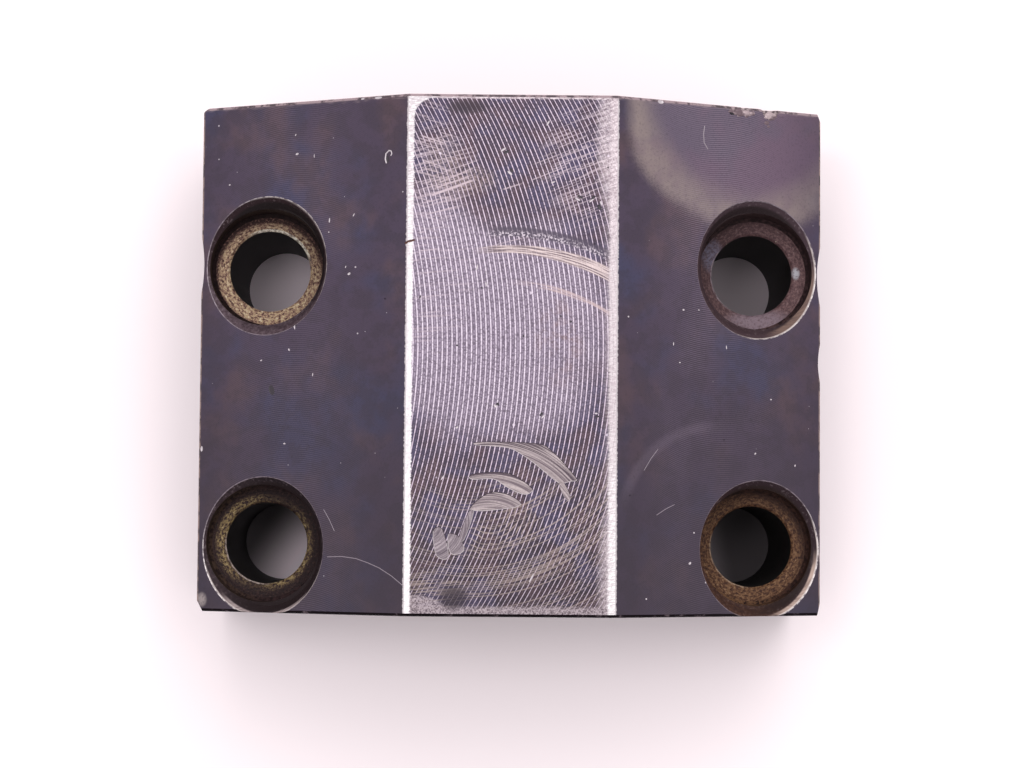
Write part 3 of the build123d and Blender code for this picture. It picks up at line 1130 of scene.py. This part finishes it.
def makeLipFinish(name, centre):
    material, tree, shader, point = startMaterial("lip_" + name)
    x, y, z = split(tree, point)
    reach, aside, ahead = around(x, y, centre)
    ragged = noise(tree, point, 1.1, 3.0, 0.6)
    # painted highlight: the lip is paler on the side facing its given direction
    toward = facing(aside, ahead, seats[name]["lip"])
    light = mix(tree, toward.ease(0.1, 0.9), paint(140, 126, 136), paint(216, 206, 206))
    colour = mix(tree, ragged.ease(0.36, 0.6), paint(98, 86, 94), light)
    plug(tree, shader.inputs["Base Color"], colour)
    shader.inputs["Metallic"].default_value = 0.4
    shader.inputs["Roughness"].default_value = 0.45
    return material


def makeHeadWallFinish(name, centre):
    dark, light, glow = seats[name]["wall"]
    material, tree, shader, point = startMaterial("head_wall_" + name)
    x, y, z = split(tree, point)
    reach, aside, ahead = around(x, y, centre)
    grime = noise(tree, point, 1.6, 4.0, 0.72)
    colour = mix(tree, grime.ease(0.38, 0.62), dark, light)
    toward = facing(aside, ahead, seats[name]["rim"][2]).ease(-0.2, 0.8)
    colour = mix(tree, toward * grime.ease(0.4, 0.56) * glow, colour, seats[name]["gold"])
    plug(tree, shader.inputs["Base Color"], colour)
    shader.inputs["Roughness"].default_value = 0.5
    shader.inputs["Specular IOR Level"].default_value = 0.14
    relief(tree, shader, grime * 0.04)
    return material


def makeHoleWallFinish():
    material, tree, shader, point = startMaterial("hole_wall")
    grime = noise(tree, point, 0.6, 3.0, 0.6)
    plug(tree, shader.inputs["Base Color"], mix(tree, grime, paint(20, 17, 18), paint(42, 37, 37)))
    shader.inputs["Roughness"].default_value = 0.6
    shader.inputs["Specular IOR Level"].default_value = 0.25
    return material


def makeScoreFinish(name, centre, light, shade, shadedEdges=()):
    # steel freshly bared, streaked along the stroke that bared it. Painted shade: at the given radii
    # round the centre, the streaks darken along the shaded upper edge of each scrape
    material, tree, shader, point = startMaterial(name)
    x, y, z = split(tree, point)
    fine = arcStreaks(tree, x, y, centre, 5.5, 1.2, 0.38, 0.62)
    broad = arcStreaks(tree, x, y, centre, 1.6, 0.8, 0.4, 0.62)
    grain = noise(tree, point, 3.0, 3.0, 0.6)
    colour = mix(tree, (fine * 0.6 + broad * 0.4) * grain.ease(0.2, 0.6, 0.6), shade, light)
    reach, aside, ahead = around(x, y, centre)
    for groove in shadedEdges:
        dark = (reach - groove).absolute().ease(0.75, 0.35) * fine.ease(0.75, 0.35)
        colour = mix(tree, dark * 0.9, colour, scoreEdgeShade)
    plug(tree, shader.inputs["Base Color"], colour)
    shader.inputs["Metallic"].default_value = 0.55
    shader.inputs["Roughness"].default_value = 0.4
    relief(tree, shader, fine * 0.02 + grain * 0.02)
    return material


def makeChipFinish():
    material, tree, shader, point = startMaterial("chip_steel")
    crumbs = noise(tree, point, 1.3, 4.0, 0.7)
    colour = mix(tree, crumbs.ease(0.4, 0.62), paint(92, 76, 82), paint(196, 178, 180))
    plug(tree, shader.inputs["Base Color"], colour)
    shader.inputs["Metallic"].default_value = 0.3
    shader.inputs["Roughness"].default_value = 0.5
    relief(tree, shader, crumbs * 0.3)
    return material


def makeBoreFinish():
    # the bar's bore: bored and honed, with fine rings
    material, tree, shader, point = startMaterial("bore_steel")
    x, y, z = split(tree, point)
    rings = wave(y + z * 0.01, 0.28)
    cloud = noise(tree, point, 0.12, 3.0)
    colour = mix(tree, cloud.ease(0.3, 0.7), paint(118, 110, 112), paint(150, 142, 144))
    plug(tree, shader.inputs["Base Color"], colour)
    shader.inputs["Metallic"].default_value = 0.75
    shader.inputs["Roughness"].default_value = 0.36
    relief(tree, shader, rings * 0.004)
    return material


def makeScrewFinish():
    material, tree, shader, point = startMaterial("screw_steel")
    cloud = noise(tree, point, 0.5, 3.0)
    colour = mix(tree, cloud.ease(0.3, 0.7), paint(52, 49, 52), paint(74, 70, 74))
    plug(tree, shader.inputs["Base Color"], colour)
    shader.inputs["Metallic"].default_value = 0.3
    shader.inputs["Roughness"].default_value = 0.36
    return material


topSteel = makeTopFinish()
shoulderSteel = {side: makeShoulderFinish(side) for side in (-1, 1)}
blackSide = makeSideFinish()
backEdge = makeWornEdge("back_edge", paint(166, 144, 150), paint(82, 66, 74), 0.5)
# painted shade: the front edge break is near black, as it lies in shade, with few worn spots
shadedFrontEdge = makeWornEdge("shaded_front_edge", paint(96, 84, 90), paint(22, 16, 20), 0.15, 0.02)
sideEdge = makeWornEdge("side_edge", paint(150, 128, 122), paint(72, 58, 62), 0.5)
knockSteel = makeWornEdge("knock_steel", paint(84, 73, 78), paint(60, 51, 61), 0.4, 0.4)
boreSteel = makeBoreFinish()
holeWall = makeHoleWallFinish()
chipSteel = makeChipFinish()
screwSteel = makeScrewFinish()
threadSteel = plainFinish("thread_steel", paint(56, 49, 52), 0.5)
# painted shade for the upper edges of the scrapes
scoreEdgeShade = paint(70, 56, 66)
scoreSteel = makeScoreFinish("score_steel", (-3.5, -33), paint(166, 153, 154), paint(96, 82, 90),
                             (19.5, 18.4, 13.4, 10.2))
roundScore = makeScoreFinish("round_score", (-14, -28), paint(150, 138, 144), paint(88, 76, 86))
burrAndHighlightSteel = plainFinish("burr_and_highlight_steel", paint(204, 193, 197), 0.4, 0.4)
scoreShade = plainFinish("score_shade", paint(62, 48, 60), 0.5, 0.3)
nickSteel = plainFinish("nick_steel", paint(206, 196, 202), 0.45, 0.4)
nickShade = plainFinish("nick_shade", paint(44, 35, 46), 0.5)
scratchSteel = plainFinish("scratch_steel", paint(150, 138, 148), 0.45, 0.2)
lumpSteel = makeWornEdge("lump_steel", paint(190, 170, 174), paint(116, 96, 104), 0.4)
rustBrown = plainFinish("rust_brown", paint(92, 52, 44), 0.6)

wear = {
    # pockets scraped in the flat top: outline in millimetres, depth, slope of the walls, finish
    "scrapes": {
        "scrape_wide": (
            [(-5.6, -14.6), (-0.6, -14.5), (4.7, -14.8), (6.8, -15.9), (8.9, -18.0), (11.0, -20.6),
             (9.9, -21.0), (8.6, -21.3), (7.4, -20.9), (4.2, -18.3), (1.8, -16.6), (-0.6, -15.5),
             (-5.6, -15.1)],
            0.07, 0.1, "score"),
        "scrape_tail": ([(8.0, -21.4), (8.9, -21.2), (10.0, -23.6), (9.2, -24.0)], 0.09, 0.08, "score"),
        "scrape_middle": (
            [(-6.4, -19.9), (-2.6, -19.5), (0.6, -20.0), (3.6, -22.1), (3.4, -22.9), (2.4, -23.2),
             (0.9, -22.8), (-0.8, -21.9), (-2.9, -20.7), (-6.4, -20.8)],
            0.09, 0.12, "score"),
        "scrape_low": (
            [(-6.7, -25.6), (-4.9, -23.7), (-2.9, -22.8), (-0.5, -23.1), (1.8, -24.5), (1.0, -25.3),
             (-1.7, -25.7), (-4.9, -26.0)],
            0.1, 0.12, "score"),
        "scrape_strip": ([(-6.9, -26.1), (-6.0, -26.2), (-7.5, -30.7), (-8.5, -30.4)], 0.09, 0.1, "round"),
        "scrape_wedge": ([(-10.2, -29.8), (-8.2, -30.3), (-7.6, -32.6), (-9.8, -33.0)], 0.07, 0.1, "round"),
        "scrape_square": (
            [(-12.7, -29.3), (-11.1, -29.0), (-10.1, -33.6), (-12.1, -33.4)], 0.08, 0.1, "round"),
    },
    # bright ticks: place, half length, half width, turn in degrees, depth
    "ticks": [
        (-30.8, 22.8, 0.42, 0.12, 85, 0.06), (-30.9, 20.8, 0.16, 0.1, 0, 0.05),
        (-36.6, 34.4, 0.3, 0.18, 20, 0.05), (-36.9, 37.7, 0.2, 0.1, 60, 0.04),
        (-33.6, 33.9, 0.34, 0.07, 90, 0.04), (-26.6, 23.5, 0.3, 0.1, 60, 0.04),
        (-27.3, 13.6, 0.3, 0.2, 30, 0.05), (-26.2, 14.7, 0.16, 0.14, 0, 0.05),
        (-27.9, 14.8, 0.2, 0.1, 70, 0.05), (-21.1, 9.2, 0.18, 0.13, 0, 0.05),
        (-36.7, 5.0, 0.5, 0.14, 100, 0.06), (-48.6, 29.8, 0.2, 0.12, 0, 0.04),
        (-37.6, 1.1, 0.24, 0.15, 120, 0.05), (-42.5, -0.6, 0.2, 0.12, 20, 0.05),
        (-33.4, -3.2, 0.3, 0.1, 80, 0.05), (-38.2, -14.8, 0.22, 0.14, 0, 0.05),
        (-53.0, -15.6, 0.5, 0.25, 88, 0.15), (-22.6, 43.1, 0.8, 0.3, 2, 0.15),
        (-25.3, 43.1, 0.4, 0.25, 0, 0.12), (24.8, 43.0, 0.6, 0.4, 0, 0.2),
        (28.9, 8.1, 0.2, 0.16, 0, 0.05), (31.1, 13.1, 0.16, 0.14, 0, 0.05),
        (31.6, 8.2, 0.16, 0.1, 0, 0.05), (19.4, 6.5, 0.16, 0.14, 0, 0.05),
        (44.5, -6.5, 0.18, 0.13, 0, 0.05), (36.1, -13.6, 0.16, 0.13, 0, 0.05),
        (41.7, -15.8, 0.22, 0.14, 40, 0.05), (48.9, -17.7, 0.2, 0.14, 70, 0.05),
        (28.3, -0.8, 0.16, 0.12, 0, 0.05), (30.2, -34.4, 0.28, 0.2, 40, 0.06),
        (22.7, -40.3, 0.16, 0.14, 0, 0.05), (19.8, -23.2, 0.16, 0.13, 0, 0.05),
        (30.9, -29.3, 0.16, 0.14, 0, 0.05), (27.2, 2.3, 0.3, 0.1, 85, 0.06),
        (36.5, 2.1, 0.34, 0.1, 95, 0.06), (33.0, -37.6, 0.2, 0.13, 50, 0.05),
        (-1.6, 34.1, 0.55, 0.16, 35, 0.08), (5.8, 38.6, 0.5, 0.15, 60, 0.08),
        (-0.5, 30.2, 0.5, 0.2, 140, 0.08), (-5.8, 14.4, 0.5, 0.13, 80, 0.06),
        (-4.3, 11.6, 0.4, 0.12, 100, 0.06), (6.7, 28.7, 0.4, 0.12, 20, 0.06),
        (10.8, 25.9, 0.5, 0.16, 150, 0.07), (13.1, 25.7, 0.5, 0.14, 35, 0.07),
        (14.7, 25.3, 0.4, 0.16, 110, 0.07), (-2.6, -8.6, 0.34, 0.2, 130, 0.07),
        (5.3, -10.3, 0.4, 0.14, 50, 0.06), (-8.9, -12.2, 0.26, 0.16, 40, 0.06),
        (14.1, -9.7, 0.26, 0.14, 0, 0.06), (3.6, -36.9, 0.8, 0.13, 62, 0.06),
        (-11.2, -20.5, 0.5, 0.12, 55, 0.06),
    ],
    # dark pits beside the ticks
    "pits": [
        (-20.9, 32.5, 0.3, 0.6, 0, 0.1), (-36.4, 5.3, 0.34, 0.14, 110, 0.06),
        (-40.6, -5.7, 0.9, 0.55, 110, 0.06), (-1.1, 33.7, 0.5, 0.22, 35, 0.1),
        (-0.2, 30.6, 0.4, 0.25, 140, 0.1), (11.2, 26.3, 0.5, 0.22, 150, 0.1),
        (13.4, 26.2, 0.5, 0.2, 35, 0.1), (14.4, 24.6, 0.3, 0.5, 20, 0.1),
        (-2.2, -8.3, 0.3, 0.22, 130, 0.08), (5.0, -9.9, 0.4, 0.2, 50, 0.08),
        (14.3, -10.2, 0.3, 0.16, 0, 0.08), (-5.0, 11.0, 0.18, 0.16, 0, 0.06),
        (2.0, 3.0, 0.2, 0.14, 90, 0.06), (9.8, 5.5, 0.2, 0.16, 0, 0.06),
        (-9.0, 1.4, 0.2, 0.15, 0, 0.06), (-15.2, 9.4, 0.3, 0.14, 80, 0.08),
        (8.1, 6.4, 0.2, 0.14, 0, 0.06), (37.3, 42.1, 0.5, 0.25, -20, 0.2),
    ],
    "rust": [(-16.9, 18.7, 0.85, 0.2, 13, 0.16), (-17.6, 18.4, 0.3, 0.2, 13, 0.2)],
    # the curled nick beside the ridge: a bright ring round the dark pit
    "curl": [(-20.3, 33.9), (-20.7, 34.0), (-21.2, 33.5), (-21.3, 32.6), (-21.1, 31.9)],
    "curlBack": [(-20.3, 33.9), (-20.2, 33.4), (-20.4, 33.1)],
    # scratches: points, width, depth
    "scratches": [
        ([(32.5, 39.6), (32.3, 38.2), (32.4, 36.7), (33.1, 35.6)], 0.2, 0.05),
        ([(-30.5, -33.8), (-28.0, -33.7), (-25.6, -34.0), (-23.5, -34.7), (-21.6, -35.5), (-19.5, -36.8),
          (-17.5, -38.4)], 0.13, 0.03),
        ([(-31.2, -25.9), (-30.2, -27.6), (-29.3, -29.5)], 0.12, 0.03),
        ([(24.4, -26.4), (25.9, -25.4), (27.5, -24.6)], 0.12, 0.03),
        ([(22.2, -19.0), (23.4, -17.0), (24.6, -15.4)], 0.1, 0.02),
    ],
    # lumps of steel pushed up in the chipped back edge: place, radius
    "lumps": [(37.4, 42.5, 0.55), (38.5, 42.4, 0.8), (39.9, 42.3, 0.7), (41.0, 42.4, 0.45),
              (44.1, 42.2, 0.8), (44.9, 42.3, 0.5), (43.6, 41.0, 0.42), (43.9, 40.4, 0.25)],
}


def makeLump(x, y, radius):
    selectOnly()
    bpy.ops.mesh.primitive_ico_sphere_add(subdivisions=4, radius=radius * mm)
    piece = bpy.context.object
    grain = bpy.data.textures.new("lump_grain", "CLOUDS")
    grain.noise_scale = 0.5 * mm
    rough = piece.modifiers.new("rough", "DISPLACE")
    rough.texture = grain
    rough.strength = 1.1 * radius * mm
    applyAll(piece)
    piece.scale = (1.25, 0.85, 0.32)
    place(piece)
    coat(piece, lumpSteel)
    return place(piece, (x * mm, y * mm, surfaceHeight(x * mm)), (0, surfaceLean(x * mm), 0))


block = makeBlank()
coat(block, topSteel, shoulderSteel[-1], shoulderSteel[1], blackSide, backEdge, shadedFrontEdge, sideEdge)
coatFaces(block, 1, lambda c, n: n.z > 0.5 and c.x < -halfRidge)
coatFaces(block, 2, lambda c, n: n.z > 0.5 and c.x > halfRidge)
coatFaces(block, 3, lambda c, n: n.z < 0.5)
coatFaces(block, 4, lambda c, n: n.z > 0.1 and 0.2 < n.y < 0.98)
coatFaces(block, 5, lambda c, n: n.z > 0.1 and -0.98 < n.y < -0.2)
coatFaces(block, 6, lambda c, n: 0.5 < abs(n.x) < 0.99 and n.z > -0.1)
print("blank shaped")

for knock in knocks["sides"]:
    combine(block, makeSideKnockTool(*knock, knockSteel))
for dent in knocks["backDents"]:
    combine(block, makeBackDentTool(*dent, chipSteel))
for x, y, radius in wear["lumps"]:
    combine(block, makeLump(x, y, radius), "UNION")
boreTool = makeBoreTool()
coat(boreTool, boreSteel)
combine(block, boreTool)
for name, (x, y) in boltPlaces.items():
    centre = (x / mm, y / mm)
    seatCoat, wallCoat = makeSeatFinish(name, centre), makeHeadWallFinish(name, centre)
    combine(block, makeBoltTool(x, y, holeWall, seatCoat, wallCoat))
    shiftX, shiftY = bolts["rimShift"][name]
    combine(block, makeRimTool(x + shiftX * mm, y + shiftY * mm,
                               makeRimFinish(name, centre), makeLipFinish(name, centre)))
print("bore and bolt holes cut")
for name, y in screwRows.items():
    combine(block, makeScrewHoleTool(y, threadSteel))
    combine(block, makeScrewMouthTool(y, threadSteel))
for name, (outline, depth, slope, finish) in wear["scrapes"].items():
    floor = scoreSteel if finish == "score" else roundScore
    combine(block, makePocket(name, outline, depth, slope, (floor, burrAndHighlightSteel, scoreShade)))
ticks = [makeMark(mark, nickSteel) for mark in wear["ticks"]]
ticks += [makeScratch("curl", wear["curl"], 0.26, 0.08, nickSteel)]
ticks += [makeScratch("curl_back", wear["curlBack"], 0.2, 0.06, nickSteel)]
for points, width, depth in wear["scratches"]:
    ticks.append(makeScratch("scratch", points, width, depth, scratchSteel))
for tick in ticks:
    combine(block, tick)
for pit in wear["pits"]:
    combine(block, makeMark(pit, nickShade))
for spot in wear["rust"]:
    combine(block, makeMark(spot, rustBrown))
smooth(block, 32)
print("screw holes cut", len(block.data.polygons), "faces")

screwPieces = {}
for name, y in screwRows.items():
    screwPieces[name] = makeSetScrew(name, y, screwSteel)
    smooth(screwPieces[name], 32)
    print(name, "made", len(screwPieces[name].data.polygons), "faces")

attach(block, "block")
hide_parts("block")
for name, piece in screwPieces.items():
    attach(piece, name)
    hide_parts(name)


# Floor, light and camera

studio = {
    "floorSize": 3.0,
    "floorColour": (1.0, 0.9, 0.93, 1),
    # painted light and shade on the floor under each hole: how light it is at the darker and the
    # lighter side, and which way the lighter side lies
    "underColour": (1.0, 0.86, 0.93),
    "lightAndShadeUnderHoles": {
        "rear_left": (1.0, 1.04, 0), "rear_right": (0.68, 0.72, 0),
        "front_left": (0.14, 1.1, -35), "front_right": (0.13, 0.5, 190),
    },
    "underSpan": {"front_left": (-5.0, 5.5), "front_right": (0.0, 7.5)},
    "worldColour": (1.0, 0.985, 0.99, 1),
    "worldLight": 0.8,
    "lamps": {
        # place, size, power, colour
        "key_lamp": ((0.1, 0.5, 0.95), 0.7, 4.2, (1.0, 0.99, 0.985)),
        "left_lamp": ((-0.12, 0.03, 0.6), 0.14, 0.55, (1.0, 0.98, 0.99)),
        "right_lamp": ((0.13, 0.03, 0.6), 0.14, 0.3, (1.0, 0.98, 0.99)),
    },
}


def makeFloorFinish():
    material, tree, shader, point = startMaterial("floor_paper")
    x, y, z = split(tree, point)
    colour = studio["floorColour"]
    # painted light and shade: the floor under each hole, seen only through it, takes its own colours
    for name, (low, high, way) in studio["lightAndShadeUnderHoles"].items():
        spotX, spotY = (value / mm for value in boltPlaces[name])
        reach, aside, ahead = around(x, y, (spotX, spotY))
        start, end = studio["underSpan"].get(name, (-7.0, 7.0))
        toward = (facing(aside, ahead, way) * reach).ease(start, end)
        under = studio["underColour"]
        dark, light = (tuple(value * share for value in under) + (1,) for share in (low, high))
        inHole = reach.below(bolts["holeRadius"] / mm + 1)
        colour = mix(tree, inHole, colour, mix(tree, toward, dark, light))
    plug(tree, shader.inputs["Base Color"], colour)
    shader.inputs["Roughness"].default_value = 0.9
    return material


def makeFloor():
    selectOnly()
    bpy.ops.mesh.primitive_plane_add(size=studio["floorSize"], location=(0, 0, -0.05 * mm))
    floor = bpy.context.object
    floor.name = "floor"
    place(floor)
    coat(floor, makeFloorFinish())
    return floor


def makeWorld():
    world = bpy.data.worlds.new("studio")
    bpy.context.scene.world = world
    world.use_nodes = True
    tree = world.node_tree
    back = tree.nodes["Background"]
    back.inputs["Color"].default_value = studio["worldColour"]
    rays = tree.nodes.new("ShaderNodeLightPath")
    seen = Field(tree, rays.outputs["Is Camera Ray"])
    seen = seen.most(Field(tree, rays.outputs["Is Glossy Ray"]))
    seen = seen.most(Field(tree, rays.outputs["Is Transmission Ray"]))
    light = studio["worldLight"]
    plug(tree, back.inputs["Strength"], seen * (1 - light) + light)


def makeLamp(name, location, size, power, colour):
    lamp = bpy.data.lights.new(name, "AREA")
    lamp.shape = "DISK"
    lamp.size = size
    lamp.energy = power
    lamp.color = colour
    holder = bpy.data.objects.new(name, lamp)
    bpy.context.scene.collection.objects.link(holder)
    holder.location = location
    aim = Vector((0, 0, blockHigh.z / 2)) - Vector(location)
    holder.rotation_euler = aim.to_track_quat("-Z", "Y").to_euler()


view = {
    "location": (-0.0033268, -0.0277128, 0.4718262),
    "turn": (0.0549, -0.0088, 0.008),
    "lens": 88.07,
    "sensor": 36.0,
}


def makeCamera():
    camera = bpy.data.cameras.new("photo_camera")
    camera.lens = view["lens"]
    camera.sensor_width = view["sensor"]
    camera.clip_start = 0.01
    holder = bpy.data.objects.new("photo_camera", camera)
    bpy.context.scene.collection.objects.link(holder)
    holder.location = view["location"]
    holder.rotation_euler = view["turn"]
    bpy.context.scene.camera = holder


makeFloor()
makeWorld()
for name, settings in studio["lamps"].items():
    makeLamp(name, *settings)
makeCamera()
bpy.context.scene.view_settings.view_transform = "Standard"
print("studio ready")
